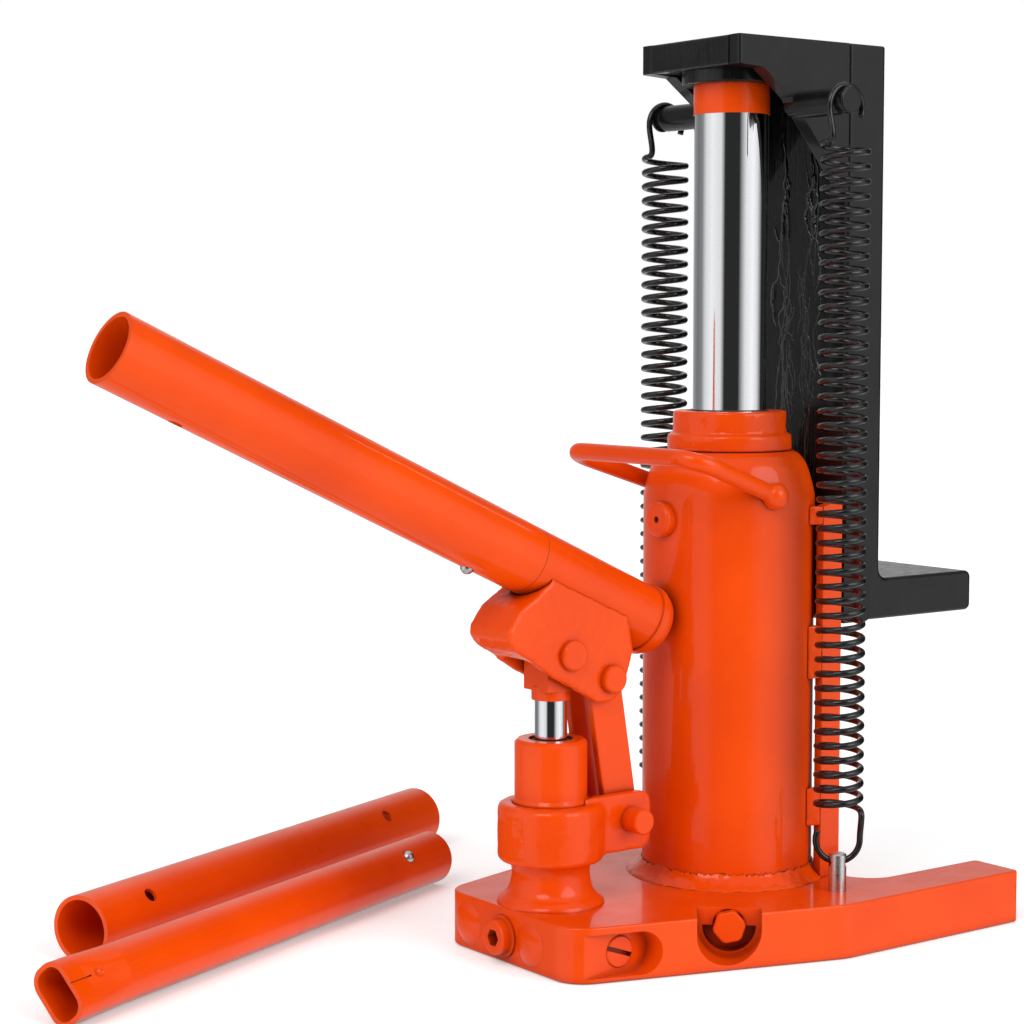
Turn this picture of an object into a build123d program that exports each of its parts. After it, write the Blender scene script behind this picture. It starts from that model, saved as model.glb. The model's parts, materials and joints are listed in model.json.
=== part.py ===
"""Hydraulic toe jack: base, bottle-jack cylinder, claw with toe, return springs, swivelling pump and handle.

Millimetres. The ram stands on the origin, +Z is up, +X points to the toe, the floor is Z = 0.
"""
from build123d import *
import os
from math import cos, hypot, radians, sin

os.makedirs("parts", exist_ok=True)

# ---- driving dimensions ----
BASE_T = 32.0            # base plate thickness
BODY_R = 52.0            # reservoir outside radius
RAM_R = 22.5
RAM_TOP = 510.0
CLAW_X = 54.3            # front face of the lifting claw
CLAW_T = 31.0
CLAW_W = 44.4            # half width of the claw
HEAD_TOP = 534.6
TOE_LOW = 185.2
TOE_TOP = 210.4
TOE_END = 167.0
SPRING_X = 16.0
SPRING_Y = 81.0
COIL_R = 13.1            # mean radius of the spring coil
WIRE_R = 1.9
COIL_LOW = 80.0
COIL_TOP = 472.0
PEG_Z = 496.0
PUMP_X = -136.0          # pump axis
PLUNGER_R = 9.5
FULCRUM = (-107.0, 162.4)      # X, Z of the handle's pivot on the links
PLUNGER_PIN = (-136.0, 178.6)  # X, Z
LINK_PIN = (-93.0, 78.4)       # X, Z
PIN_R = 6.0
TILT = 25.2              # handle above the horizontal, degrees
TUBE_R = 20.0
TUBE_BORE = 17.3
FIT = 0.05               # running clearance on a radius
VALVE_DIR = (-0.648, -0.7616, 0.0)     # outward axis of the release valve
VALVE_SIDE = (0.7616, -0.648, 0.0)

# the handle's own frame: Z runs out along the handle, X points up from it
HANDLE = Plane(
    origin=(61.74, 0, 131.31),
    x_dir=(sin(radians(TILT)), 0, cos(radians(TILT))),
    z_dir=(-cos(radians(TILT)), 0, sin(radians(TILT))),
)
TAIL = 133.0             # positions along that Z: closed end, seam, open end
SEAM = 238.9
OPEN_END = 527.5
BUTTON_AT = 275.0

# the two loose handle sections lie on the floor, turned so their holes look up and sideways
LAY = (0.9157, 0.4020, 0.0)
LAY_X = (0.3079, -0.7014, 0.6428)
SLEEVE = Plane(origin=(-366, 144, TUBE_R), x_dir=LAY_X, z_dir=LAY)
LEVER = Plane(origin=(-430, 40, 17.1), x_dir=LAY_X, z_dir=LAY)
SLEEVE_LEN = 360.0
LEVER_LEN = 368.0
LEVER_BUTTON = 322.0

SIDES = ((-1, "right"), (1, "left"))


def save(piece, label):
    """Name a finished piece and write it out."""
    piece.part.label = label
    export_step(piece.part, f"parts/{label}.step")


def side_plane(y, side, x=0.0, z=0.0):
    """Upright plane at |Y| = y whose normal points outward on that side; sketch X is row X, sketch Y is row Z."""
    if side < 0:
        return Plane(origin=(x, -y, z), x_dir=(1, 0, 0), z_dir=(0, -1, 0))
    return Plane(origin=(x, y, z), x_dir=(1, 0, 0), z_dir=(0, -1, 0))


def at_x(piece, *values):
    """Upright edges of a plate at the given X positions."""
    uprights = piece.edges().filter_by(Axis.Z)
    return [e for e in uprights if min(abs(e.center().X - v) for v in values) < 0.6]


# ---- base plate ----
NOTCH = Plane(origin=(-75.2, -88.3, 21.6), x_dir=VALVE_SIDE, z_dir=VALVE_DIR)
POCKET = Plane(origin=(0, -62, 15.2), x_dir=(1, 0, 0), z_dir=(0, -1, 0))
END_FACE = Plane(origin=(-168, 0, 15.4), x_dir=(0, -1, 0), z_dir=(-1, 0, 0))
END_PLUG_Y = -3.0        # along the end face's own X
PASSAGE_PLUGS = (-37.5, 22.5)

with BuildPart() as base_plate:
    with BuildSketch():
        with BuildLine():
            Polyline(
                (-168, -60.5), (-3, -110), (142.5, -110), (142.5, -74), (46.5, -74),
                (46.5, 74), (142.5, 74), (142.5, 110), (-3, 110), (-168, 60.5), close=True,
            )
        make_face()
    extrude(amount=BASE_T)
    fillet(at_x(base_plate, -168), 20)
    fillet(at_x(base_plate, 46.5), 22)
    fillet(at_x(base_plate, -3), 30)
    fillet(at_x(base_plate, 142.5), 3.5)
    fillet(base_plate.faces().sort_by(Axis.Z)[-1].edges(), 1.2)
    chamfer(base_plate.faces().sort_by(Axis.Z)[0].edges(), 0.8)
    # open notch round the release valve, and the valve's bore
    with BuildSketch(NOTCH.offset(30)):
        Circle(18.5)
        with Locations((0, 15)):
            Rectangle(37, 30)
    extrude(amount=-49, mode=Mode.SUBTRACT)
    with BuildSketch(NOTCH.offset(-18)):
        Circle(9.4 + FIT)
    extrude(amount=-30, mode=Mode.SUBTRACT)
    # hollow under the valve's hex, where a spanner turns
    with BuildSketch(NOTCH.offset(-18)):
        Circle(15.5)
        with Locations((0, 10)):
            Rectangle(40, 20, mode=Mode.SUBTRACT)
    extrude(amount=-9, mode=Mode.SUBTRACT)
    with BuildSketch(NOTCH.offset(-47)):
        Circle(3)
    extrude(amount=-64, mode=Mode.SUBTRACT)
    # side pocket of the overload screw
    with BuildSketch(POCKET):
        with Locations((-127, 0)):
            Circle(12.4)
        with Locations((-157, 0)):
            Rectangle(60, 24.8)
    extrude(amount=40, mode=Mode.SUBTRACT)
    with BuildSketch(POCKET):
        with Locations((-134.7, 0)):
            Circle(9.3)
    extrude(amount=-34, mode=Mode.SUBTRACT)
    # plug bores in the pump-end face
    with BuildSketch(END_FACE):
        with Locations((END_PLUG_Y, 0)):
            Circle(8)
    extrude(amount=-17, mode=Mode.SUBTRACT)
    with BuildSketch(END_FACE):
        with Locations((PASSAGE_PLUGS[0], 0), (PASSAGE_PLUGS[1], 0)):
            Circle(12.4)
    extrude(amount=-5, mode=Mode.SUBTRACT)
    # pump well, oil passage to the ram, and the riser under the ram
    with BuildSketch(Plane.XY.offset(20)):
        with Locations((PUMP_X, 0)):
            Circle(16)
    extrude(amount=20, mode=Mode.SUBTRACT)
    with BuildSketch(Plane(origin=(-153, 3, 12), x_dir=(0, 1, 0), z_dir=(1, 0, 0))):
        Circle(3)
    extrude(amount=156, mode=Mode.SUBTRACT)
    with BuildSketch(Plane.XY.offset(12)):
        with Locations((PUMP_X, 3), (0, 3)):
            Circle(2.5)
    extrude(amount=22, mode=Mode.SUBTRACT)
    # sockets of the two spring pins
    with BuildSketch(Plane.XY.offset(14)):
        with Locations((SPRING_X, SPRING_Y), (SPRING_X, -SPRING_Y)):
            Circle(5.3)
    extrude(amount=20, mode=Mode.SUBTRACT)
save(base_plate, "base_plate")

with BuildPart() as release_valve:
    with BuildSketch(NOTCH.offset(-13)):
        Circle(9.4)
        RegularPolygon(radius=8.7, side_count=6, major_radius=False, rotation=12, mode=Mode.INTERSECT)
    extrude(amount=-12)
    with BuildSketch(NOTCH.offset(-25)):
        Circle(9.4)
    extrude(amount=-16)
    with BuildSketch(NOTCH.offset(-41)):
        Circle(6)
    extrude(amount=-2.5)
    chamfer(release_valve.faces().sort_by(Axis((0, 0, 0), VALVE_DIR))[-1].edges(), 0.6)
save(release_valve, "release_valve")

with BuildPart() as release_ball:
    with Locations(NOTCH.offset(-47.3)):
        Sphere(3.4)
        Cylinder(3, 12, mode=Mode.INTERSECT)
save(release_ball, "release_ball")

with BuildPart() as overload_screw:
    with BuildSketch(POCKET.offset(1.0)):
        with Locations((-134.7, 0)):
            Circle(9.3)
    extrude(amount=-14)
    chamfer(overload_screw.faces().sort_by(Axis.Y)[0].edges(), 0.8)
    with BuildSketch(POCKET.offset(1.0)):
        with Locations((-134.7, 0)):
            Rectangle(20, 2.6, rotation=-20)
    extrude(amount=-4, mode=Mode.SUBTRACT)
save(overload_screw, "overload_screw")

with BuildPart() as overload_spring:
    for turn in range(4):
        with Locations(Plane(origin=(-134.7, -47.0 + 3.2 * turn, 15.2), z_dir=(0, 1, 0))):
            Torus(5.2, 0.9)
save(overload_spring, "overload_spring")

with BuildPart() as overload_ball:
    with Locations((-134.7, -31.6, 15.2)):
        Sphere(3.5)
save(overload_ball, "overload_ball")

with BuildPart() as end_plug:
    with BuildSketch(END_FACE):
        with Locations((END_PLUG_Y, 0)):
            Circle(12.2)
    extrude(amount=1.6)
    with BuildSketch(END_FACE.offset(1.6)):
        with Locations((END_PLUG_Y, 0)):
            Circle(10)
    extrude(amount=6)
    fillet(end_plug.faces().sort_by(Axis.X)[0].edges(), 1.0)
    with BuildSketch(END_FACE):
        with Locations((END_PLUG_Y, 0)):
            Circle(8)
    extrude(amount=-14)
    with BuildSketch(END_FACE.offset(7.6)):
        with Locations((END_PLUG_Y, 0)):
            RegularPolygon(radius=4.6, side_count=6, major_radius=False)
    extrude(amount=-7, mode=Mode.SUBTRACT)
save(end_plug, "end_plug")

with BuildPart() as passage_plugs:
    for across in PASSAGE_PLUGS:
        with BuildSketch(END_FACE.offset(-4)):
            with Locations((across, 0)):
                Circle(12.4)
        extrude(amount=4)
    for across in PASSAGE_PLUGS:
        with BuildSketch(Plane(origin=(-168, -across, 15.4), x_dir=(1, 0, 0), z_dir=(0, 1, 0))):
            with BuildLine():
                Line((0, 0), (-2.6, 0))
                ThreePointArc((-2.6, 0), (-1.9, 6.9), (0, 12.4))
                Line((0, 12.4), (0, 0))
            make_face()
        revolve(axis=Axis((-168, -across, 15.4), (1, 0, 0)))
save(passage_plugs, "passage_plugs")

with BuildPart() as check_balls:
    with Locations((PUMP_X, 3, 22.9), (0, 3, 35)):
        Sphere(2.9)
save(check_balls, "check_balls")

for side, word in SIDES:
    with BuildPart() as spring_pin:
        with BuildSketch(Plane.XY.offset(14)):
            with Locations((SPRING_X, side * SPRING_Y)):
                Circle(5.3)
        extrude(amount=40.5)
        chamfer(spring_pin.faces().sort_by(Axis.Z)[-1].edges(), 0.7)
        with Locations(Plane(origin=(SPRING_X, side * SPRING_Y, 49.5), z_dir=(0.806, side * 0.592, 0))):
            Cylinder(3.2, 20, mode=Mode.SUBTRACT)
    save(spring_pin, f"spring_pin_{word}")

# ---- cylinder and reservoir ----
with BuildPart() as reservoir_body:
    with BuildSketch(Plane.XZ):
        with BuildLine():
            Line((48, BASE_T), (BODY_R, BASE_T))
            Line((BODY_R, BASE_T), (BODY_R, 262))
            Spline((BODY_R, 262), (50.4, 271), (46.5, 283), (38.5, 290.8), tangents=((0, 1), (-1, 0.35)))
            Line((38.5, 290.8), (33, 290.8))
            Line((33, 290.8), (33, 287))
            Spline((33, 287), (43.0, 280), (46.6, 270), (48, 262), tangents=((1, -0.35), (0, -1)))
            Line((48, 262), (48, BASE_T))
        make_face()
    revolve(axis=Axis.Z)
    with BuildSketch(Plane(origin=(-60, 0, 251), x_dir=(0, 1, 0), z_dir=(1, 0, 0))):
        Circle(8)
    extrude(amount=20, mode=Mode.SUBTRACT)
save(reservoir_body, "reservoir_body")

with BuildPart() as pressure_cylinder:
    with BuildSketch(Plane.XY.offset(BASE_T)):
        Circle(29.5)
        Circle(24, mode=Mode.SUBTRACT)
    extrude(amount=255)
save(pressure_cylinder, "pressure_cylinder")

with BuildPart() as top_collar:
    with BuildSketch(Plane.XZ):
        Polygon(
            (RAM_R + FIT, 287.2), (33, 287.2), (33, 290.9), (37.6, 290.9), (37.6, 301), (34.2, 301),
            (34.2, 315), (26, 315), (26, 309.5), (RAM_R + FIT, 309.5), align=None,
        )
    revolve(axis=Axis.Z)
    fillet(top_collar.edges().filter_by(GeomType.CIRCLE).filter_by_position(Axis.Z, 300.9, 301.1)
           .sort_by(SortBy.RADIUS)[-1], 1.6)
    fillet(top_collar.edges().filter_by(GeomType.CIRCLE).filter_by_position(Axis.Z, 314.9, 315.1)
           .sort_by(SortBy.RADIUS)[-1], 1.4)
save(top_collar, "top_collar")

with BuildPart() as ram_wiper_seal:
    with BuildSketch(Plane.XZ):
        Polygon(
            (RAM_R + FIT, 309.7), (25.9, 309.7), (25.9, 314.2), (24.2, 314.2), (RAM_R + FIT, 315.6), align=None,
        )
    revolve(axis=Axis.Z)
save(ram_wiper_seal, "ram_wiper_seal")

with BuildPart() as body_weld:
    with BuildSketch(Plane.XZ):
        with BuildLine():
            Line((BODY_R, BASE_T), (62, BASE_T))
            Spline((62, BASE_T), (57.5, 34.6), (53.6, 38.2), (BODY_R, 42.5))
            Line((BODY_R, 42.5), (BODY_R, BASE_T))
        make_face()
    revolve(axis=Axis.Z)
    with Locations((96, 0, 37)):
        Box(100, 200, 20, mode=Mode.SUBTRACT)
    with Locations((38.1, 48.5, 37), (38.1, -48.5, 37)):
        Box(16, 6.2, 20, mode=Mode.SUBTRACT)
save(body_weld, "body_weld")

with BuildPart() as filler_plug:
    with BuildSketch(Plane(origin=(-57.5, 0, 251), x_dir=(0, 1, 0), z_dir=(1, 0, 0))):
        Circle(10.5)
        Circle(2, mode=Mode.SUBTRACT)
    extrude(amount=7)
    with Locations((0, 0, 251)):
        Cylinder(BODY_R, 40, mode=Mode.SUBTRACT)
    fillet(filler_plug.faces().sort_by(Axis.X)[0].outer_wire().edges(), 2.2)
    with BuildSketch(Plane(origin=(-53.5, 0, 251), x_dir=(0, 1, 0), z_dir=(1, 0, 0))):
        Circle(7.9)
    extrude(amount=9.5)
save(filler_plug, "filler_plug")

# bent rod handle welded to both sides of the body
with BuildPart() as carry_handle:
    with BuildLine() as bail_path:
        bail = FilletPolyline(
            (-8, -50.6, 266), (-79, -61, 290.5), (-79, 61, 290.5), (-8, 50.6, 266), radius=16,
        )
    with BuildSketch(Plane(origin=bail @ 0, z_dir=bail % 0)):
        Circle(5.3)
    sweep(path=bail_path.line)
    with Locations((-10, -52.2, 266), (-10, 52.2, 266)):
        Sphere(8.2)
    with BuildSketch(Plane.XY.offset(240)):
        Circle(BODY_R)
    extrude(amount=22, mode=Mode.SUBTRACT)
    with BuildSketch(Plane.XZ):
        with BuildLine():
            Line((0, 262), (BODY_R, 262))
            Spline((BODY_R, 262), (50.4, 271), (46.5, 283), (38.5, 290.8), tangents=((0, 1), (-1, 0.35)))
            Line((38.5, 290.8), (0, 290.8))
            Line((0, 290.8), (0, 262))
        make_face()
    revolve(axis=Axis.Z, mode=Mode.SUBTRACT)
save(carry_handle, "carry_handle")

for side, word in SIDES:
    with BuildPart() as guide_rail:
        with BuildSketch(side_plane(48.5, side)):
            Polygon((30.2, BASE_T), (46, BASE_T), (46, 262), (30.2, 258), align=None)
        extrude(amount=3, both=True)
        fillet(guide_rail.faces().sort_by(Axis.X)[-1].edges().filter_by(Axis.Z), 0.8)
    save(guide_rail, f"guide_rail_{word}")

STITCHES = ((64, 87), (154, 186), (247, 258))    # Z spans of the webs that join body and rail
with BuildPart() as rail_stitch_welds:
    for low, high in STITCHES:
        for side in (-1, 1):
            with BuildSketch(Plane.XY.offset(low)):
                with BuildLine():
                    Polyline(
                        (21.5, side * 47.4), (30.2, side * 51.3), (30.2, side * 41.0), close=True,
                    )
                make_face()
            extrude(amount=high - low)
    with BuildSketch(Plane.XY.offset(BASE_T)):
        Circle(BODY_R + 0.02)
    extrude(amount=230, mode=Mode.SUBTRACT)
save(rail_stitch_welds, "rail_stitch_welds")

with BuildPart() as slide_pad:
    with BuildSketch(Plane.XY.offset(46)):
        with Locations((50, 0)):
            Rectangle(8, 30)
        Circle(BODY_R + 0.02, mode=Mode.SUBTRACT)
    extrude(amount=194)
save(slide_pad, "slide_pad")

# ---- ram and lifting claw ----
with BuildPart() as ram:
    with BuildSketch(Plane.XY.offset(220)):
        Circle(RAM_R)
    extrude(amount=272)
    with BuildSketch(Plane.XY.offset(220)):
        Circle(23.9)
    extrude(amount=22)
    with BuildSketch(Plane.XY.offset(228)):
        Circle(25)
        Circle(21, mode=Mode.SUBTRACT)
    extrude(amount=7, mode=Mode.SUBTRACT)
save(ram, "ram")

with BuildPart() as ram_piston_seal:
    with BuildSketch(Plane.XY.offset(228.2)):
        Circle(23.95)
        Circle(21, mode=Mode.SUBTRACT)
    extrude(amount=6.6)
save(ram_piston_seal, "ram_piston_seal")

with BuildPart() as ram_cap:
    with BuildSketch(Plane.XY.offset(492)):
        Circle(23)
    extrude(amount=25.4)
    chamfer(ram_cap.faces().sort_by(Axis.Z)[-1].edges(), 0.8)
save(ram_cap, "ram_cap")

with BuildPart() as lift_claw:
    with BuildSketch(Plane.XZ):
        Polygon(
            (CLAW_X, TOE_LOW), (TOE_END, TOE_LOW), (TOE_END, TOE_TOP), (CLAW_X + CLAW_T, TOE_TOP),
            (CLAW_X + CLAW_T, HEAD_TOP), (CLAW_X, HEAD_TOP), align=None,
        )
    extrude(amount=CLAW_W, both=True)
    inner = lift_claw.edges().filter_by(Axis.Y).filter_by_position(Axis.Z, TOE_TOP - 0.1, TOE_TOP + 0.1)
    fillet(inner.filter_by_position(Axis.X, CLAW_X + CLAW_T - 0.1, CLAW_X + CLAW_T + 0.1), 7)
    fillet(lift_claw.faces().sort_by(Axis.X)[-1].edges().filter_by(Axis.Y), 4)
    fillet(lift_claw.faces().sort_by(Axis.X)[-1].edges().filter_by(Axis.Z), 3)
    heel = lift_claw.edges().filter_by(Axis.Y).filter_by_position(Axis.Z, TOE_LOW - 0.1, TOE_LOW + 0.1)
    fillet(heel.sort_by(Axis.X)[0], 3)
    chamfer(lift_claw.faces().sort_by(Axis.Z)[-1].edges(), 0.8)
save(lift_claw, "lift_claw")

with BuildPart() as head_plate:
    with BuildSketch(Plane.XY.offset(517.6)):
        with Locations(((CLAW_X - 33.7) / 2, 0)):
            Rectangle(CLAW_X + 33.7, 68.8)
    extrude(amount=17)
    chamfer(head_plate.faces().sort_by(Axis.X)[0].edges().filter_by(Axis.Y), 0.8)
save(head_plate, "head_plate")

for side, word in SIDES:
    with BuildPart() as gusset:
        with BuildSketch(side_plane(39.4, side)):
            Polygon(
                (-33.7, HEAD_TOP), (CLAW_X, HEAD_TOP), (CLAW_X, 446), (28.7, 475.7),
                (7.6, 500.3), (-14.5, 516.4), (-33.7, 517.6), align=None,
            )
        extrude(amount=5, both=True)
        fillet(gusset.faces().sort_by(Axis.X)[0].edges().filter_by(Axis.Z), 2)
        with Locations((SPRING_X, side * 39.4, PEG_Z)):
            Cylinder(6, 30, rotation=(90, 0, 0), mode=Mode.SUBTRACT)
    save(gusset, f"gusset_{word}")

    with BuildPart() as spring_peg:
        with BuildSketch(Plane(origin=(SPRING_X, 0, PEG_Z), x_dir=(1, 0, 0), z_dir=(0, side, 0)).offset(35)):
            Circle(6)
        extrude(amount=9.4)
        with BuildSketch(Plane(origin=(SPRING_X, 0, PEG_Z), x_dir=(1, 0, 0), z_dir=(0, side, 0)).offset(44.4)):
            Circle(8)
        extrude(amount=41.6)
        with BuildSketch(Plane(origin=(SPRING_X, 0, PEG_Z), x_dir=(1, 0, 0), z_dir=(0, side, 0)).offset(78.4)):
            Circle(9)
            Circle(6.3, mode=Mode.SUBTRACT)
        extrude(amount=5.2, mode=Mode.SUBTRACT)
        fillet(spring_peg.faces().sort_by(Axis((0, 0, 0), (0, side, 0)))[-1].edges(), 1.2)
    save(spring_peg, f"spring_peg_{word}")

    with BuildPart() as guide_shoe:
        with BuildSketch(side_plane(47.8, side)):
            Polygon((48, 186), (70, 186), (70, 232), (48, 232), align=None)
        extrude(amount=3.3, both=True)
        with Locations((47.7, side * 40.6, 224)):
            Box(13.1, 9.2, 16)
        fillet(guide_shoe.edges().filter_by(Axis.Y).filter_by_position(Axis.X, 69.9, 70.1), 4)
    save(guide_shoe, f"guide_shoe_{word}")

with BuildPart() as ram_socket_ring:
    with BuildSketch(Plane.XY.offset(509.5)):
        Circle(30)
        Circle(23.3, mode=Mode.SUBTRACT)
    extrude(amount=8.1)
    fillet(ram_socket_ring.faces().sort_by(Axis.Z)[0].outer_wire().edges(), 1.2)
save(ram_socket_ring, "ram_socket_ring")

# ---- return springs: close coil with an open hook at each end ----
TURN = (COIL_TOP - COIL_LOW) / 45.0
for side, word in SIDES:
    start = side * 36.3
    turns = 45 + (180 - start) / 360 - (1 if side > 0 else 0)
    pitch = (COIL_TOP - COIL_LOW) / turns
    centre = Vector(SPRING_X, side * SPRING_Y, 0)
    low_dir = Vector(cos(radians(start)), sin(radians(start)), 0)
    coil = Plane(origin=centre + Vector(0, 0, COIL_LOW), x_dir=low_dir, z_dir=(0, 0, 1)) * Helix(
        pitch=pitch, height=COIL_TOP - COIL_LOW, radius=COIL_R)
    low_loop = Plane(origin=centre + Vector(0, 0, 62.6), x_dir=low_dir, z_dir=low_dir.cross(Vector(0, 0, 1)))
    top_loop = Plane(origin=centre + Vector(0, 0, 491.6), x_dir=(1, 0, 0), z_dir=(0, -1, 0))
    low_arc = low_loop * CenterArc((0, 0), COIL_R, 0, -205)
    top_arc = top_loop * CenterArc((0, 0), COIL_R, 180, -200)
    low_lead = Spline(coil @ 0, low_arc @ 0, tangents=((coil % 0) * -1, low_arc % 0))
    top_lead = Spline(coil @ 1, top_arc @ 0, tangents=(coil % 1, top_arc % 0))
    with BuildPart() as spring:
        for path, frenet in ((coil, True), (low_lead, False), (top_lead, False), (low_arc, False), (top_arc, False)):
            with BuildSketch(Plane(origin=path @ 0, z_dir=path % 0)):
                Circle(WIRE_R)
            sweep(path=path, is_frenet=frenet)
    save(spring, f"spring_{word}")

# ---- pump ----
with BuildPart() as pump_cylinder:
    with BuildSketch(Plane.XZ):
        Polygon(
            (9.55, 24), (16, 24), (16, BASE_T), (22.4, BASE_T), (22.4, 92), (21.2, 94), (21.2, 126),
            (19.2, 128), (13, 128), (13, 122.5), (9.55, 122.5), align=None,
        )
    revolve(axis=Axis.Z)
pump_cylinder.part.position = (PUMP_X, 0, 0)
save(pump_cylinder, "pump_cylinder")

with BuildPart() as pump_wiper_seal:
    with BuildSketch(Plane.XZ):
        Polygon((9.55, 122.7), (12.9, 122.7), (12.9, 126.6), (11, 126.6), (9.55, 127.8), align=None)
    revolve(axis=Axis.Z)
pump_wiper_seal.part.position = (PUMP_X, 0, 0)
save(pump_wiper_seal, "pump_wiper_seal")

with BuildPart() as pump_weld:
    with BuildSketch(Plane.XZ):
        with BuildLine():
            Line((22.4, BASE_T), (31.4, BASE_T))
            Spline((31.4, BASE_T), (30.6, 34.2), (26.0, 38.5), (23.4, 45), (22.9, 52), (24.4, 56.8))
            Line((24.4, 56.8), (22.4, 56.8))
            Line((22.4, 56.8), (22.4, BASE_T))
        make_face()
    revolve(axis=Axis.Z)
pump_weld.part.position = (PUMP_X, 0, 0)
save(pump_weld, "pump_weld")

# ring that turns round the pump neck and carries the links between two arms
with BuildPart() as pump_collar:
    with BuildSketch(Plane.XY.offset(57)):
        with Locations((PUMP_X, 0)):
            Circle(31)
    extrude(amount=34)
    fillet(pump_collar.faces().sort_by(Axis.Z)[-1].edges(), 4)
    fillet(pump_collar.faces().sort_by(Axis.Z)[0].edges(), 3)
    for side in (-1, 1):
        with BuildSketch(Plane.XY.offset(60)):
            with Locations((-103, side * 17.5)):
                Rectangle(50, 7)
        extrude(amount=34)
    fillet(pump_collar.edges().filter_by(Axis.Y).filter_by_position(Axis.X, -78.1, -77.9), 7)
    with Locations((-93, 0, 75)):
        Box(33, 28, 50, mode=Mode.SUBTRACT)
    with BuildSketch(Plane.XY.offset(50)):
        with Locations((PUMP_X, 0)):
            Circle(22.4 + FIT)
    extrude(amount=60, mode=Mode.SUBTRACT)
    with BuildSketch(side_plane(40, -1, LINK_PIN[0], LINK_PIN[1])):
        Circle(PIN_R)
    extrude(amount=-80, mode=Mode.SUBTRACT)
save(pump_collar, "pump_collar")

with BuildPart() as link_pin:
    with BuildSketch(side_plane(21, -1, LINK_PIN[0], LINK_PIN[1])):
        Circle(PIN_R)
    extrude(amount=-42)
    with BuildSketch(side_plane(21, -1, LINK_PIN[0], LINK_PIN[1])):
        Circle(7.4)
    extrude(amount=13)
    with BuildSketch(side_plane(21, 1, LINK_PIN[0], LINK_PIN[1])):
        Circle(7.4)
    extrude(amount=-7)
    chamfer(link_pin.faces().sort_by(Axis.Y)[0].edges(), 1.0)
    chamfer(link_pin.faces().sort_by(Axis.Y)[-1].edges(), 1.0)
save(link_pin, "link_pin")

LINK_MID = ((FULCRUM[0] + LINK_PIN[0]) / 2, (FULCRUM[1] + LINK_PIN[1]) / 2)
LINK_RUN = (FULCRUM[0] - LINK_PIN[0], FULCRUM[1] - LINK_PIN[1])
LINK_LEN = hypot(*LINK_RUN)
for side, word in SIDES:
    link_plane = Plane(
        origin=(LINK_MID[0], side * 10.8, LINK_MID[1]), x_dir=(LINK_RUN[0], 0, LINK_RUN[1]), z_dir=(0, -1, 0))
    with BuildPart() as link:
        with BuildSketch(link_plane):
            SlotCenterToCenter(LINK_LEN, 23)
            with Locations((-LINK_LEN / 2, 0), (LINK_LEN / 2, 0)):
                Circle(PIN_R + FIT, mode=Mode.SUBTRACT)
        extrude(amount=2.7, both=True)
        chamfer(link.faces().sort_by(Axis.Y)[0].outer_wire().edges(), 0.6)
        chamfer(link.faces().sort_by(Axis.Y)[-1].outer_wire().edges(), 0.6)
    save(link, f"link_{word}")

with BuildPart() as plunger:
    with BuildSketch(Plane.XY.offset(52)):
        with Locations((PUMP_X, 0)):
            Circle(PLUNGER_R)
    extrude(amount=104)
    chamfer(plunger.faces().sort_by(Axis.Z)[0].edges(), 1)
save(plunger, "plunger")

# eye on top of the plunger; its hole leaves the plunger pin free to wander a little
with BuildPart() as plunger_head:
    with BuildSketch(side_plane(0, -1, PLUNGER_PIN[0], PLUNGER_PIN[1])):
        Circle(12.5)
        with Locations((0, -11)):
            Rectangle(22, 22)
    extrude(amount=11.5, both=True)
    with BuildSketch(Plane.XY.offset(151)):
        with Locations((PUMP_X, 0)):
            Circle(11.4)
    extrude(amount=8)
    with BuildSketch(Plane.XY.offset(140)):
        with Locations((PUMP_X, 0)):
            Circle(PLUNGER_R)
    extrude(amount=16, mode=Mode.SUBTRACT)
    with BuildSketch(side_plane(20, -1, PLUNGER_PIN[0], PLUNGER_PIN[1])):
        Circle(7.8)
    extrude(amount=-40, mode=Mode.SUBTRACT)
save(plunger_head, "plunger_head")

# ---- handle clevis and socket ----
with BuildPart() as handle_clevis:
    for y in (-17, 17):
        with BuildSketch(side_plane(y, 1)):
            Polygon(
                (-157, 207), (-168, 184), (-161, 174), (-149, 166.5), (-129, 156), (-117, 149), (-106, 148.5),
                (-97, 156), (-90, 178), (-94, 198), (-150, 224), align=None,
            )
        extrude(amount=3, both=True)
    with BuildSketch(side_plane(0, 1)):
        Polygon(
            (-150, 222), (-160, 214), (-171, 207.5), (-180, 196), (-180.5, 190), (-175.5, 183.5), (-165, 177.5),
            (-159, 176), (-159, 196), (-150, 206), (-134, 200), (-110, 189), (-100, 188), (-96, 199), align=None,
        )
    extrude(amount=20, both=True)
    with BuildSketch(HANDLE.offset(100)):
        Circle(TUBE_R + 0.01)
    extrude(amount=240, mode=Mode.SUBTRACT)
    with BuildSketch(side_plane(40, -1, FULCRUM[0], FULCRUM[1])):
        Circle(PIN_R)
    extrude(amount=-80, mode=Mode.SUBTRACT)
    with BuildSketch(side_plane(40, -1, PLUNGER_PIN[0], PLUNGER_PIN[1])):
        Circle(5.3)
    extrude(amount=-80, mode=Mode.SUBTRACT)
save(handle_clevis, "handle_clevis")


def cross_pin(centre, shank, head, near, far):
    """Pin along Y with a round head on the right-hand side and a split-pin hole at the other end."""
    with BuildPart() as pin:
        with BuildSketch(side_plane(20, -1, centre[0], centre[1])):
            Circle(shank)
        extrude(amount=-(20 + far))
        with BuildSketch(side_plane(20, -1, centre[0], centre[1])):
            Circle(head)
        extrude(amount=near - 20)
        chamfer(pin.faces().sort_by(Axis.Y)[0].edges(), 1.0)
        with Locations((centre[0], 24.5, centre[1])):
            Cylinder(1.7, 30, mode=Mode.SUBTRACT)
    return pin


save(cross_pin(FULCRUM, PIN_R, 8.0, 25.0, 28.5), "fulcrum_pin")
save(cross_pin(PLUNGER_PIN, 5.3, 8.75, 24.0, 28.5), "plunger_pin")

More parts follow.
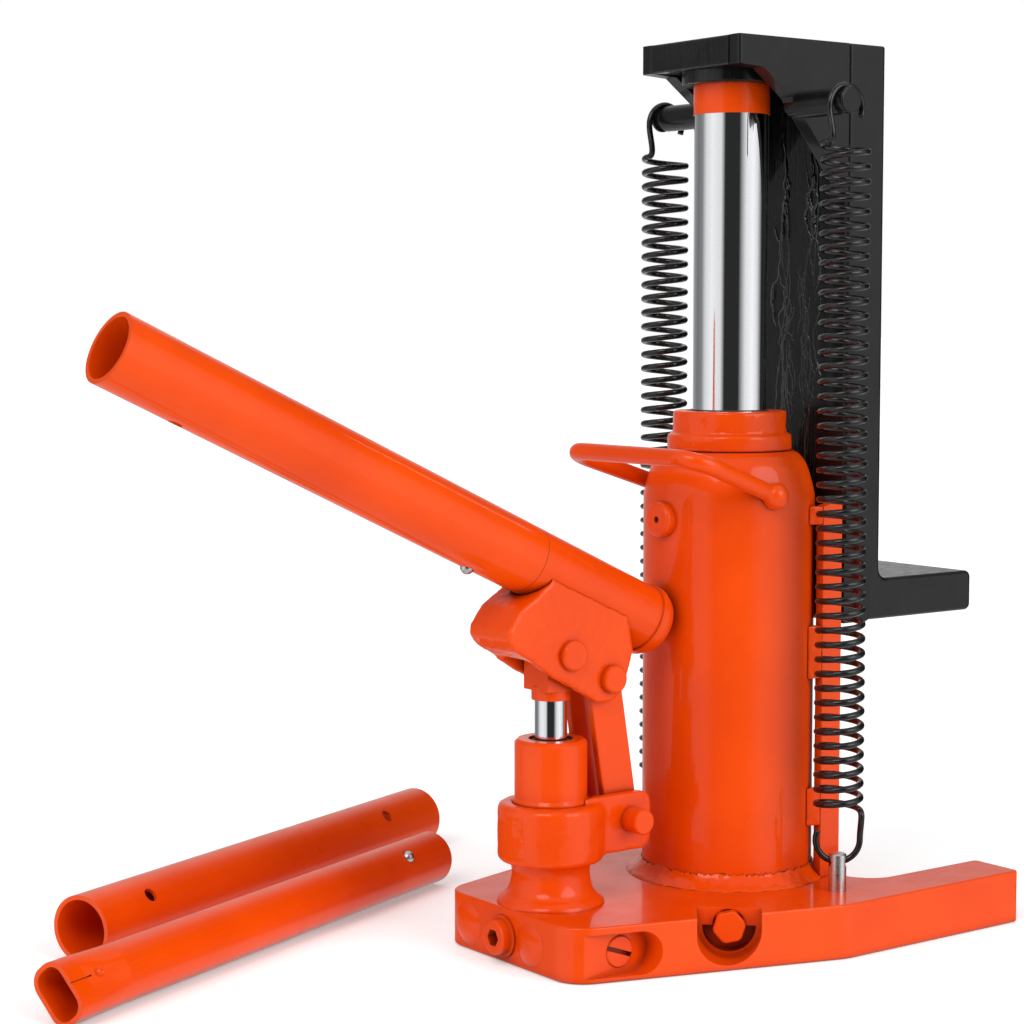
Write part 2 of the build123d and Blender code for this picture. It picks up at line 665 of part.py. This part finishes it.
with BuildPart() as cotter_pins:
    for x, z in (FULCRUM, PLUNGER_PIN):
        with Locations((x, 24.5, z - 2)):
            Cylinder(1.5, 22)
        with Locations(Plane(origin=(x, 24.5, z + 11.4), z_dir=(1, 0, 0))):
            Torus(2.6, 1.3)
save(cotter_pins, "cotter_pins")

with BuildPart() as socket_tube:
    with BuildSketch(HANDLE.offset(TAIL)):
        Circle(TUBE_R)
    extrude(amount=SEAM - TAIL)
    fillet(socket_tube.edges().filter_by(GeomType.CIRCLE).sort_by(Axis(HANDLE.origin, HANDLE.z_dir))[0], 7)
    with BuildSketch(HANDLE.offset(TAIL + 8)):
        Circle(TUBE_R + 1.3)
    extrude(amount=5)
    with BuildSketch(HANDLE.offset(TAIL + 5)):
        Circle(17)
    extrude(amount=SEAM - TAIL, mode=Mode.SUBTRACT)
save(socket_tube, "socket_tube")

with BuildPart() as socket_spigot:
    with BuildSketch(HANDLE.offset(180)):
        Circle(17)
        Circle(14, mode=Mode.SUBTRACT)
    extrude(amount=133)
    with Locations(HANDLE.offset(BUTTON_AT)):
        with Locations((-15, 0, 0)):
            Cylinder(4.2, 12, rotation=(0, 90, 0), mode=Mode.SUBTRACT)
save(socket_spigot, "socket_spigot")

with BuildPart() as handle_tube:
    with BuildSketch(HANDLE.offset(SEAM + 0.2)):
        Circle(TUBE_R)
        Circle(TUBE_BORE, mode=Mode.SUBTRACT)
    extrude(amount=OPEN_END - SEAM - 0.2)
    with BuildSketch(HANDLE.offset(SEAM)):
        Circle(TUBE_BORE + 0.4)
    extrude(amount=78, mode=Mode.SUBTRACT)
    for h in (BUTTON_AT, OPEN_END - 50):
        with Locations(HANDLE.offset(h)):
            with Locations((-18, 0, 0)):
                Cylinder(4.3, 10, rotation=(0, 90, 0), mode=Mode.SUBTRACT)
save(handle_tube, "handle_tube")


def button(frame, tip):
    """Round-nosed spring button standing across a tube, turned about the frame's X."""
    with BuildPart() as knob:
        with BuildSketch(frame):
            with BuildLine():
                Polyline((tip - 4, 4), (12.6, 4), (12.6, 5.4), (10.8, 5.4), (10.8, 0), (tip, 0))
                RadiusArc((tip, 0), (tip - 4, 4), -4)
            make_face()
        revolve(axis=Axis(frame.origin, frame.x_dir))
    return knob


def leaf_spring(frame):
    """Folded strip that pushes a button outward."""
    with BuildPart() as strip:
        with BuildSketch(Plane(origin=frame.origin, x_dir=frame.z_dir, z_dir=frame.y_dir)):
            with BuildLine():
                leaf = FilletPolyline((-10, 10.3), (26, 5), (34, -3), (-8, -12), radius=3)
                offset(leaf, amount=0.4)
            make_face()
        extrude(amount=4, both=True)
    return strip


MOUNTED_BUTTON = Plane(
    origin=HANDLE.offset(BUTTON_AT).origin, x_dir=HANDLE.x_dir * -1, z_dir=HANDLE.z_dir)
save(button(MOUNTED_BUTTON, 23.2), "snap_button")
save(leaf_spring(MOUNTED_BUTTON), "button_spring")

# ---- loose handle sections ----
with BuildPart() as loose_sleeve:
    with BuildSketch(SLEEVE):
        Circle(TUBE_R)
        Circle(TUBE_BORE, mode=Mode.SUBTRACT)
    extrude(amount=SLEEVE_LEN)
    for h in (45, SLEEVE_LEN - 60):
        with Locations(SLEEVE.offset(h)):
            with Locations((18, 0, 0)):
                Cylinder(4.3, 10, rotation=(0, 90, 0), mode=Mode.SUBTRACT)
save(loose_sleeve, "loose_sleeve")

FLAT = 40.0              # length over which the lever's end is pressed flat
with BuildPart() as lever_tube:
    with BuildSketch(LEVER.offset(FLAT)):
        Circle(17)
    extrude(amount=LEVER_LEN - FLAT)
    with BuildSketch(LEVER.offset(12)):
        RectangleRounded(24, 35, 10)
    with BuildSketch(LEVER.offset(FLAT)):
        Circle(17)
    loft()
    with BuildSketch(LEVER):
        RectangleRounded(24, 35, 10)
    extrude(amount=12)
    with BuildSketch(LEVER.offset(FLAT)):
        Circle(14)
    extrude(amount=LEVER_LEN, mode=Mode.SUBTRACT)
    with BuildSketch(LEVER.offset(12)):
        RectangleRounded(18.6, 29.6, 7.3)
    with BuildSketch(LEVER.offset(FLAT)):
        Circle(14)
    loft(mode=Mode.SUBTRACT)
    with BuildSketch(LEVER.offset(-1)):
        RectangleRounded(18.6, 29.6, 7.3)
    extrude(amount=13, mode=Mode.SUBTRACT)
    with Locations(LEVER.offset(LEVER_BUTTON)):
        with Locations((15, 0, 0)):
            Cylinder(4.2, 10, rotation=(0, 90, 0), mode=Mode.SUBTRACT)
    # pressed slit and dimple on the flat side
    with Locations(LEVER.offset(9)):
        with Locations((12, 0, 0)):
            Box(1.2, 0.8, 19, mode=Mode.SUBTRACT)
    with Locations(LEVER.offset(21)):
        with Locations((15.4, 0, 0)):
            Sphere(3.6, mode=Mode.SUBTRACT)
save(lever_tube, "lever_tube")

save(button(LEVER.offset(LEVER_BUTTON), 20.2), "lever_button")
save(leaf_spring(LEVER.offset(LEVER_BUTTON)), "lever_button_spring")
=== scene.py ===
"""Looks of the hydraulic toe jack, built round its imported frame. Metres, +Z up, ram axis on the origin."""
import json
import math
import random

import bpy
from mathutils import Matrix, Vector, noise


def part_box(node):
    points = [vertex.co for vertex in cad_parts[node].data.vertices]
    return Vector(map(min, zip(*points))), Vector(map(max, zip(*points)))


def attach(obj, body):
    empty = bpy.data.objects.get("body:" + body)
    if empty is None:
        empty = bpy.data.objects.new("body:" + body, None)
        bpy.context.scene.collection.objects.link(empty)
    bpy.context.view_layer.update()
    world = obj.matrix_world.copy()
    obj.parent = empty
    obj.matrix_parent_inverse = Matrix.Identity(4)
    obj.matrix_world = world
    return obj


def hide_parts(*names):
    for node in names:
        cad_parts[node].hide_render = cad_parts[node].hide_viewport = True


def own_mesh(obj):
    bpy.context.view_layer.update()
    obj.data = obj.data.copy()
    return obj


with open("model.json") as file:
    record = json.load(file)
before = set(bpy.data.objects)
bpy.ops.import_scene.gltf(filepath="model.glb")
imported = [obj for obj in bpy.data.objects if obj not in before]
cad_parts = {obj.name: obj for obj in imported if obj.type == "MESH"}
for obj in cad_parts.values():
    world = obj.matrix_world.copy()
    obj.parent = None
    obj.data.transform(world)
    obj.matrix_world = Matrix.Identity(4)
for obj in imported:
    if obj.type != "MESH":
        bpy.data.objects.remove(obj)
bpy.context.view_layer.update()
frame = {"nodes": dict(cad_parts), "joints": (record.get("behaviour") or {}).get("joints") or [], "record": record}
nodes = frame["nodes"]

# ---------------------------------------------------------------- camera, light, floor
YAW = math.radians(36.3)
PITCH = math.radians(4.69)
EYE = Vector((-0.95948, -1.08297, 0.37102))
LENS = 83.38
FLOOR_HALF = 30.0
FLOOR_DROP = 0.0004       # keeps the floor's face apart from the undersides


def add_camera():
    data = bpy.data.cameras.new("camera")
    data.lens = LENS
    data.sensor_width = 36
    data.clip_end = 200
    obj = bpy.data.objects.new("camera", data)
    look = Vector((math.sin(YAW) * math.cos(PITCH), math.cos(YAW) * math.cos(PITCH), -math.sin(PITCH)))
    obj.location = EYE
    obj.rotation_euler = look.to_track_quat("-Z", "Y").to_euler()
    bpy.context.scene.collection.objects.link(obj)
    bpy.context.scene.camera = obj
    bpy.context.scene.view_settings.view_transform = "Standard"


def add_light(kind, name, place, target, power, **shape):
    data = bpy.data.lights.new(name, kind)
    data.energy = power
    for key, value in shape.items():
        setattr(data, key, value)
    obj = bpy.data.objects.new(name, data)
    obj.location = place
    obj.rotation_euler = (Vector(target) - Vector(place)).to_track_quat("-Z", "Y").to_euler()
    bpy.context.scene.collection.objects.link(obj)


# Brightness of the studio round the jack, by angle in degrees from the front of the stand, left to right.
STUDIO = ((-180, 0.85), (-150, 0.35), (-125, 0.22), (-104, 0.30), (-88, 0.90), (-66, 1.15), (-36, 0.95),
          (-24, 0.03), (20, 0.03), (42, 1.00), (66, 1.25), (84, 0.95), (102, 0.10), (122, 0.02), (152, 0.04),
          (166, 0.60), (180, 0.85))
OVERHEAD = 0.75
GROUND = 0.75


def add_world():
    """White backdrop, lit by soft boxes at both sides of a dark flag that stands at the front."""
    world = bpy.data.worlds.new("studio")
    bpy.context.scene.world = world
    world.use_nodes = True
    tree = world.node_tree
    tree.nodes.clear()

    def node(kind, **values):
        made = tree.nodes.new(kind)
        for key, value in values.items():
            setattr(made, key, value)
        return made

    def dot(vector, with_vector):
        made = node("ShaderNodeVectorMath", operation="DOT_PRODUCT")
        tree.links.new(vector, made.inputs[0])
        made.inputs[1].default_value = with_vector
        return made.outputs["Value"]

    def fade(value, low, high):
        made = node("ShaderNodeMapRange", interpolation_type="SMOOTHSTEP")
        tree.links.new(value, made.inputs["Value"])
        made.inputs["From Min"].default_value = low
        made.inputs["From Max"].default_value = high
        return made.outputs["Result"]

    def blend(factor, a, b):
        made = node("ShaderNodeMix", data_type="FLOAT")
        for socket, value in ((made.inputs["Factor"], factor), (made.inputs["A"], a), (made.inputs["B"], b)):
            if isinstance(value, float):
                socket.default_value = value
            else:
                tree.links.new(value, socket)
        return made.outputs[0]

    ray = node("ShaderNodeTexCoord").outputs["Generated"]
    angle = node("ShaderNodeMath", operation="ARCTAN2")
    tree.links.new(dot(ray, (math.cos(YAW), -math.sin(YAW), 0)), angle.inputs[0])
    tree.links.new(dot(ray, (-math.sin(YAW), -math.cos(YAW), 0)), angle.inputs[1])
    turn = node("ShaderNodeMapRange")
    tree.links.new(angle.outputs[0], turn.inputs["Value"])
    turn.inputs["From Min"].default_value = -math.pi
    turn.inputs["From Max"].default_value = math.pi
    ramp = node("ShaderNodeValToRGB")
    tree.links.new(turn.outputs["Result"], ramp.inputs["Fac"])
    stops = ramp.color_ramp.elements
    while len(stops) > 1:
        stops.remove(stops[-1])
    for i, (degrees, level) in enumerate(STUDIO):
        stop = stops[0] if i == 0 else stops.new((degrees + 180) / 360)
        stop.position = (degrees + 180) / 360
        stop.color = (level, level, level, 1)
    up = dot(ray, (0, 0, 1))
    level = blend(fade(up, 0.55, 0.85), ramp.outputs["Color"], OVERHEAD)
    level = blend(fade(up, -0.25, -0.45), level, GROUND)
    level = blend(node("ShaderNodeLightPath").outputs["Is Camera Ray"], level, 1.0)
    back = node("ShaderNodeBackground")
    tree.links.new(level, back.inputs["Color"])
    out = node("ShaderNodeOutputWorld")
    tree.links.new(back.outputs[0], out.inputs[0])


def add_floor():
    mesh = bpy.data.meshes.new("floor")
    half = FLOOR_HALF
    mesh.from_pydata([(-half, -half, 0), (half, -half, 0), (half, half, 0), (-half, half, 0)], [], [(0, 1, 2, 3)])
    floor = bpy.data.objects.new("floor", mesh)
    floor.location = (0, 0, -FLOOR_DROP)
    floor.visible_glossy = False
    bpy.context.scene.collection.objects.link(floor)
    mat = bpy.data.materials.new("floor")
    mat.use_nodes = True
    shader = mat.node_tree.nodes["Principled BSDF"]
    shader.inputs["Base Color"].default_value = (0.90, 0.90, 0.90, 1)
    shader.inputs["Roughness"].default_value = 0.8
    shader.inputs["Emission Color"].default_value = (1, 1, 1, 1)
    shader.inputs["Emission Strength"].default_value = 0.30
    mesh.materials.append(mat)


add_camera()
add_world()
add_floor()
add_light("SUN", "key", (-2.0, -1.1, 2.2), (0, 0, 0.2), 1.00, angle=math.radians(30))
add_light("SUN", "side", (0.6, -2.4, 1.4), (0, 0, 0.2), 1.15, angle=math.radians(40))


# ---------------------------------------------------------------- materials
class Nodes:
    """Small helper that adds and links nodes in one material."""

    def __init__(self, name):
        self.mat = bpy.data.materials.new(name)
        self.mat.use_nodes = True
        self.tree = self.mat.node_tree
        self.shader = self.tree.nodes["Principled BSDF"]
        coords = self.tree.nodes.new("ShaderNodeTexCoord")
        self.place = coords.outputs["Object"]

    def link(self, a, b):
        self.tree.links.new(a, b)

    def set(self, **values):
        for key, value in values.items():
            self.shader.inputs[key.replace("_", " ")].default_value = value

    def noise(self, scale, detail=2.0, rough=0.5, stretch=None):
        node = self.tree.nodes.new("ShaderNodeTexNoise")
        node.inputs["Scale"].default_value = scale
        node.inputs["Detail"].default_value = detail
        node.inputs["Roughness"].default_value = rough
        source = self.place
        if stretch:
            mapping = self.tree.nodes.new("ShaderNodeMapping")
            mapping.inputs["Scale"].default_value = stretch
            self.link(source, mapping.inputs["Vector"])
            source = mapping.outputs[0]
        self.link(source, node.inputs["Vector"])
        return node.outputs["Fac"]

    def spread(self, value, low, high, out_low=0.0, out_high=1.0, smooth=False):
        node = self.tree.nodes.new("ShaderNodeMapRange")
        node.interpolation_type = "SMOOTHSTEP" if smooth else "LINEAR"
        self.link(value, node.inputs["Value"])
        for key, number in (("From Min", low), ("From Max", high), ("To Min", out_low), ("To Max", out_high)):
            node.inputs[key].default_value = number
        return node.outputs["Result"]

    def math(self, kind, a, b=None):
        node = self.tree.nodes.new("ShaderNodeMath")
        node.operation = kind
        for socket, value in zip(node.inputs, (a, b)):
            if value is None:
                continue
            if isinstance(value, (int, float)):
                socket.default_value = value
            else:
                self.link(value, socket)
        return node.outputs[0]

    def mix(self, factor, a, b):
        node = self.tree.nodes.new("ShaderNodeMix")
        node.data_type = "RGBA"
        if isinstance(factor, (int, float)):
            node.inputs["Factor"].default_value = factor
        else:
            self.link(factor, node.inputs["Factor"])
        for key, value in (("A", a), ("B", b)):
            socket = [s for s in node.inputs if s.name == key and s.type == "RGBA"][0]
            if isinstance(value, tuple):
                socket.default_value = (*value, 1)
            else:
                self.link(value, socket)
        return [s for s in node.outputs if s.type == "RGBA"][0]

    def bump(self, height, strength, distance, normal=None):
        node = self.tree.nodes.new("ShaderNodeBump")
        node.inputs["Strength"].default_value = strength
        node.inputs["Distance"].default_value = distance
        self.link(height, node.inputs["Height"])
        if normal:
            self.link(normal, node.inputs["Normal"])
        return node.outputs["Normal"]

    def edges(self, radius):
        """Bevelled normal and a mask that is 1 on edges and 0 on open surface."""
        bevel = self.tree.nodes.new("ShaderNodeBevel")
        bevel.samples = 4
        bevel.inputs["Radius"].default_value = radius
        geometry = self.tree.nodes.new("ShaderNodeNewGeometry")
        dot = self.tree.nodes.new("ShaderNodeVectorMath")
        dot.operation = "DOT_PRODUCT"
        self.link(bevel.outputs[0], dot.inputs[0])
        self.link(geometry.outputs["Normal"], dot.inputs[1])
        return bevel.outputs[0], self.spread(dot.outputs["Value"], 0.99, 0.80)

    def crevice(self, distance):
        """Mask that is 1 deep in corners and 0 on open surface."""
        node = self.tree.nodes.new("ShaderNodeAmbientOcclusion")
        node.samples = 6
        node.inputs["Distance"].default_value = distance
        return self.spread(node.outputs["AO"], 0.72, 0.18)

    def axis(self, name):
        node = self.tree.nodes.new("ShaderNodeSeparateXYZ")
        self.link(self.place, node.inputs[0])
        return node.outputs[name]


def orange_paint():
    """Thick glossy powder coat: orange peel, slight pooling, a painted highlight that lightens the colour over
    edges, painted shade that darkens corners, a few specks.
    """
    n = Nodes("orange_paint")
    body, deep, pale = (0.80, 0.068, 0.0003), (0.56, 0.030, 0.0003), (0.92, 0.13, 0.01)
    corner_shade = (0.16, 0.009, 0.001)
    normal, edge = n.edges(0.0012)
    cloud = n.spread(n.noise(14, 3), 0.35, 0.65)
    colour = n.mix(n.math("MULTIPLY", cloud, 0.35), body, deep)
    specks = n.spread(n.noise(900, 1, 0.4), 0.74, 0.78)
    colour = n.mix(n.math("MULTIPLY", specks, 0.5), colour, deep)
    # painted highlight: the colour turns paler along edges, standing in for light catching their rounding
    colour = n.mix(n.math("MULTIPLY", edge, 0.45), colour, pale)
    # painted shade: the ambient-occlusion mask darkens corners and the joins between parts towards a deep
    # red-brown, standing in for shadow
    colour = n.mix(n.math("MULTIPLY", n.crevice(0.012), 0.85), colour, corner_shade)
    n.link(colour, n.shader.inputs["Base Color"])
    n.link(n.spread(n.noise(60, 4), 0.3, 0.7, 0.27, 0.40), n.shader.inputs["Roughness"])
    peel = n.bump(n.noise(520, 2, 0.45), 0.22, 0.0002, normal)
    n.link(n.bump(n.noise(75, 2), 0.16, 0.0008, peel), n.shader.inputs["Normal"])
    n.set(Specular_IOR_Level=0.08, Coat_Weight=0.38, Coat_Roughness=0.05)
    return n.mat


def black_paint():
    """Semi-gloss black over rolled plate, mottled, painted grey highlights along the edges, streaked with grease
    inside.
    """
    n = Nodes("black_paint")
    normal, edge = n.edges(0.0014)
    mottle = n.spread(n.noise(45, 5, 0.65), 0.35, 0.7)
    colour = n.mix(mottle, (0.0025, 0.0025, 0.003), (0.007, 0.007, 0.0075))
    # painted highlight: edges are coloured a lighter grey, standing in for light catching their rounding
    colour = n.mix(n.math("MULTIPLY", edge, 0.6), colour, (0.035, 0.035, 0.037))
    x, y = n.axis("X"), n.axis("Y")
    front = n.math("LESS_THAN", x, 0.0546)
    middle = n.spread(n.math("ABSOLUTE", y), 0.034, 0.016, smooth=True)
    runs = n.spread(n.noise(150, 4, 0.6, (1.0, 1.0, 0.10)), 0.46, 0.60)
    grease = n.math("MULTIPLY", n.math("MULTIPLY", front, middle), runs)
    rough = n.spread(n.noise(120, 4), 0.3, 0.7, 0.30, 0.46)
    wet = n.tree.nodes.new("ShaderNodeMix")
    n.link(grease, wet.inputs["Factor"])
    n.link(rough, wet.inputs["A"])
    wet.inputs["B"].default_value = 0.07
    n.link(wet.outputs[0], n.shader.inputs["Roughness"])
    n.link(colour, n.shader.inputs["Base Color"])
    skin = n.bump(n.noise(430, 3, 0.5), 0.25, 0.0002, normal)
    n.link(n.bump(grease, 0.5, 0.0007, skin), n.shader.inputs["Normal"])
    n.set(Specular_IOR_Level=0.14, Coat_Weight=0.38, Coat_Roughness=0.10)
    return n.mat


def spring_black():
    n = Nodes("black_spring")
    blotch = n.spread(n.noise(260, 3), 0.4, 0.7)
    n.link(n.mix(blotch, (0.003, 0.003, 0.003), (0.010, 0.010, 0.010)), n.shader.inputs["Base Color"])
    n.link(n.spread(n.noise(300, 3), 0.3, 0.7, 0.20, 0.38), n.shader.inputs["Roughness"])
    n.link(n.bump(n.noise(900, 2), 0.15, 0.0001), n.shader.inputs["Normal"])
    n.set(Specular_IOR_Level=0.25, Coat_Weight=0.35, Coat_Roughness=0.08)
    return n.mat


def wet_grease():
    n = Nodes("wet_grease")
    n.link(n.mix(n.noise(300, 3), (0.004, 0.004, 0.004), (0.014, 0.013, 0.012)), n.shader.inputs["Base Color"])
    n.link(n.spread(n.noise(240, 2), 0.3, 0.7, 0.04, 0.13), n.shader.inputs["Roughness"])
    n.link(n.bump(n.noise(380, 3), 0.6, 0.0006), n.shader.inputs["Normal"])
    n.set(Specular_IOR_Level=0.8)
    return n.mat


def metal(name, colour, rough, grain, stretch, depth):
    """Bare or plated metal with fine machining lines."""
    n = Nodes(name)
    lines = n.noise(grain, 3, 0.6, stretch)
    shade = tuple(c * 0.86 for c in colour)
    n.link(n.mix(n.spread(lines, 0.3, 0.7), colour, shade), n.shader.inputs["Base Color"])
    n.link(n.spread(lines, 0.3, 0.7, rough[0], rough[1]), n.shader.inputs["Roughness"])
    n.link(n.bump(lines, depth, 0.0001), n.shader.inputs["Normal"])
    n.set(Metallic=1.0)
    return n.mat


def rubber():
    n = Nodes("seal_rubber")
    n.link(n.mix(n.noise(400, 3), (0.012, 0.012, 0.012), (0.03, 0.03, 0.03)), n.shader.inputs["Base Color"])
    n.link(n.spread(n.noise(500, 3), 0.3, 0.7, 0.5, 0.7), n.shader.inputs["Roughness"])
    n.link(n.bump(n.noise(700, 2), 0.2, 0.0001), n.shader.inputs["Normal"])
    return n.mat


MATERIALS = {
    "orange_paint": orange_paint(),
    "black_paint": black_paint(),
    "black_spring": spring_black(),
    "chrome": metal("chrome", (0.78, 0.79, 0.81), (0.04, 0.10), 900, (1, 1, 6), 0.02),
    "zinc": metal("zinc", (0.62, 0.62, 0.62), (0.22, 0.38), 700, (1, 1, 1), 0.10),
    "bare_steel": metal("bare_steel", (0.42, 0.41, 0.40), (0.30, 0.48), 500, (1, 1, 4), 0.15),
    "seal_rubber": rubber(),
    "spring_steel": metal("spring_steel", (0.33, 0.33, 0.34), (0.25, 0.42), 600, (1, 1, 1), 0.10),
}

SLOT_OF = {part["node"]: part["material_slot"] for part in frame["record"]["subparts"]}
for name, obj in nodes.items():
    obj.data.materials.clear()
    obj.data.materials.append(MATERIALS[SLOT_OF[name]])


# ---------------------------------------------------------------- meshes made in code
def add_mesh(name, verts, faces, slot, body, replaced=(), finish=None):
    mesh = bpy.data.meshes.new(name)
    mesh.from_pydata([tuple(v) for v in verts], [], faces)
    mesh.update()
    obj = bpy.data.objects.new(name, mesh)
    bpy.context.scene.collection.objects.link(obj)
    return settle(obj, slot, body, replaced, finish=finish)


def settle(obj, slot, body, replaced=(), smooth=True, finish=None):
    """Give a finished piece its material (the slot's, unless a finish is given) and its body, and hide the nodes
    it stands for.
    """
    obj.data.materials.clear()
    obj.data.materials.append(finish or MATERIALS[slot])
    for poly in obj.data.polygons:
        poly.use_smooth = smooth
    if replaced:
        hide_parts(*replaced)
    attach(obj, body)
    return obj


def sweep(points, radius, sides=12):
    """Round tube along points, its frame carried from one to the next; radius is a number or one per point."""
    points = [Vector(p) for p in points]
    radii = radius if isinstance(radius, list) else [radius] * len(points)
    runs = [(points[min(i + 1, len(points) - 1)] - points[max(i - 1, 0)]).normalized() for i in range(len(points))]
    side = runs[0].orthogonal().normalized()
    verts, faces = [], []
    for point, run, r in zip(points, runs, radii):
        side = (side - run * side.dot(run)).normalized()
        other = run.cross(side)
        for k in range(sides):
            a = 2 * math.pi * k / sides
            verts.append(point + (side * math.cos(a) + other * math.sin(a)) * r)
    for i in range(len(points) - 1):
        for k in range(sides):
            a, b = i * sides + k, i * sides + (k + 1) % sides
            faces.append((a, b, b + sides, a + sides))
    faces.append(tuple(reversed(range(sides))))
    faces.append(tuple(range((len(points) - 1) * sides, len(points) * sides)))
    return verts, faces


def hermite(a, b, ta, tb, count):
    """Points on a smooth run from a to b that leaves along ta and arrives along tb."""
    out = []
    for i in range(count + 1):
        t = i / count
        out.append(a * (2 * t ** 3 - 3 * t * t + 1) + ta * (t ** 3 - 2 * t * t + t)
                   + b * (3 * t * t - 2 * t ** 3) + tb * (t ** 3 - t * t))
    return out


# ---- return springs
SPRING_X, SPRING_Y = 0.016, 0.081
COIL_R, WIRE_R = 0.0131, 0.0019
COIL_LOW, COIL_TOP = 0.080, 0.472
LOOP_LOW, LOOP_TOP = 0.0626, 0.4916
COILS = 45
HOOK_DIRECTION = 36.3     # degrees either side of +X, where each low hook faces
LEAD = 0.022              # pull of the bends between coil and hook
TRAVEL = [-j["range_m"][0] for j in frame["joints"] if j["name"] == "lift"][0]

for word, side in (("right", -1), ("left", 1)):
    start = math.radians(side * HOOK_DIRECTION)
    turns = COILS + (180 - side * HOOK_DIRECTION) / 360 - (1 if side > 0 else 0)
    centre = Vector((SPRING_X, side * SPRING_Y, 0))
    steps = int(turns * 30)
    coil = []
    for i in range(steps + 1):
        a = start + 2 * math.pi * turns * i / steps
        z = COIL_LOW + (COIL_TOP - COIL_LOW) * i / steps
        coil.append(centre + Vector((math.cos(a) * COIL_R, math.sin(a) * COIL_R, z)))
    piece = add_mesh(f"coil_{word}", *sweep(coil, WIRE_R), "black_spring", "jack_base", [f"spring_{word}"])
    piece.visible_glossy = False        # keeps the coil's zigzag out of the chrome ram
    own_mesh(piece)
    out = Vector((math.cos(start), math.sin(start), 0))
    low = [centre + out * (COIL_R * math.cos(a)) + Vector((0, 0, LOOP_LOW + COIL_R * math.sin(a)))
           for a in (math.radians(-205 * i / 48) for i in range(49))]
    lead = hermite(coil[0], low[0], (coil[0] - coil[1]).normalized() * LEAD, Vector((0, 0, -LEAD)), 20)
    add_mesh(f"hook_low_{word}", *sweep(lead[:-1] + low, WIRE_R), "black_spring", "jack_base")
    top = [centre + Vector((COIL_R * math.cos(a), 0, LOOP_TOP + COIL_R * math.sin(a)))
           for a in (math.radians(180 - 200 * i / 48) for i in range(49))]
    lead = hermite(coil[-1], top[0], (coil[-1] - coil[-2]).normalized() * LEAD, Vector((0, 0, LEAD)), 20)
    add_mesh(f"hook_top_{word}", *sweep(lead[:-1] + top, WIRE_R), "black_spring", "lift")


# ---- leaf springs behind the two snap buttons: plain copies of their CAD shapes
for node, body, press in (("button_spring", "handle", "snap_button_press"),
                          ("lever_button_spring", "lever", "lever_button_press")):
    leaf = bpy.data.objects.new(f"{node}_leaf", nodes[node].data.copy())
    bpy.context.scene.collection.objects.link(leaf)
    settle(leaf, "spring_steel", body, [node], smooth=False)
    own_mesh(leaf)


# ---- cast and welded pieces: softened copies of their CAD shapes
SKIN_COARSE, SKIN_FINE = 180, 420


def cast(node, body, slot, voxel, rounds, rough=0.0):
    """Copy of a node with its edges softened as a casting's or a weld's are, and a slightly uneven skin."""
    obj = bpy.data.objects.new(f"{node}_cast", nodes[node].data.copy())
    bpy.context.scene.collection.objects.link(obj)
    remesh = obj.modifiers.new("remesh", "REMESH")
    remesh.mode = "VOXEL"
    remesh.voxel_size = voxel
    soften = obj.modifiers.new("soften", "SMOOTH")
    soften.iterations = rounds
    mesh = bpy.data.meshes.new_from_object(obj.evaluated_get(bpy.context.evaluated_depsgraph_get()))
    obj.modifiers.clear()
    obj.data = mesh
    if rough:
        places = [vert.co.copy() for vert in mesh.vertices]
        normals = [vert.normal.copy() for vert in mesh.vertices]
        for vert, place, normal in zip(mesh.vertices, places, normals):
            vert.co = place + normal * rough * (noise.noise(place * SKIN_COARSE)
                                                + 0.5 * noise.noise(place * SKIN_FINE))
    return settle(obj, slot, body, [node])


cast("handle_clevis", "handle", "orange_paint", 0.0010, 30, 0.0003)
cast("carry_handle", "jack_base", "orange_paint", 0.0010, 6)
cast("body_weld", "jack_base", "orange_paint", 0.0008, 5, 0.0003)
cast("top_collar", "jack_base", "orange_paint", 0.0008, 14, 0.0002)
cast("rail_stitch_welds", "jack_base", "orange_paint", 0.0007, 8, 0.0003)
cast("pump_collar", "pump_swivel", "orange_paint", 0.0009, 6, 0.0002)

# ---- grease: wet runs smeared down the claw's face, wiped to a thin film where the slide pad passes
PLATE_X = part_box("lift_claw")[0][0]
PAD_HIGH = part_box("slide_pad")[1]
FILM = 0.0002
PAD_ROOM = 0.004
RUNS, RUN_STEPS = 44, 40
GREASE = wet_grease()
shade = random.Random(7)
grease_verts, grease_faces = [], []
for number in range(RUNS):
    side = -1 if number % 2 else 1
    y = side * shade.triangular(0.001, 0.021, 0.009)
    top = shade.uniform(0.315, 0.488)
    length = shade.uniform(0.02, 0.10)
    bow, phase, width = shade.uniform(0.0010, 0.0035), shade.uniform(0, 6), shade.uniform(0.0007, 0.0018)
    run, sizes = [], []
    for i in range(RUN_STEPS + 1):
        t = i / RUN_STEPS
        wander = bow * math.sin(phase + 7 * t) + 0.002 * noise.noise(Vector((number, 0, t * 9)))
        swell = 0.8 + 0.6 * noise.noise(Vector((number, 3, t * 14)))
        size = width * (0.25 + math.sin(math.pi * t) ** 0.6) * swell
        z = top - length * t
        wiped = abs(y + wander) < PAD_HIGH[1] + PAD_ROOM and z < PAD_HIGH[2] + TRAVEL + PAD_ROOM
        sizes.append(size)
        run.append((PLATE_X + (size - FILM if wiped else 0), y + wander, z))
    verts, faces = sweep(run, sizes, 10)
    first = len(grease_verts)
    grease_verts += verts
    grease_faces += [tuple(first + corner for corner in face) for face in faces]
add_mesh("grease", grease_verts, grease_faces, "black_paint", "lift", finish=GREASE)
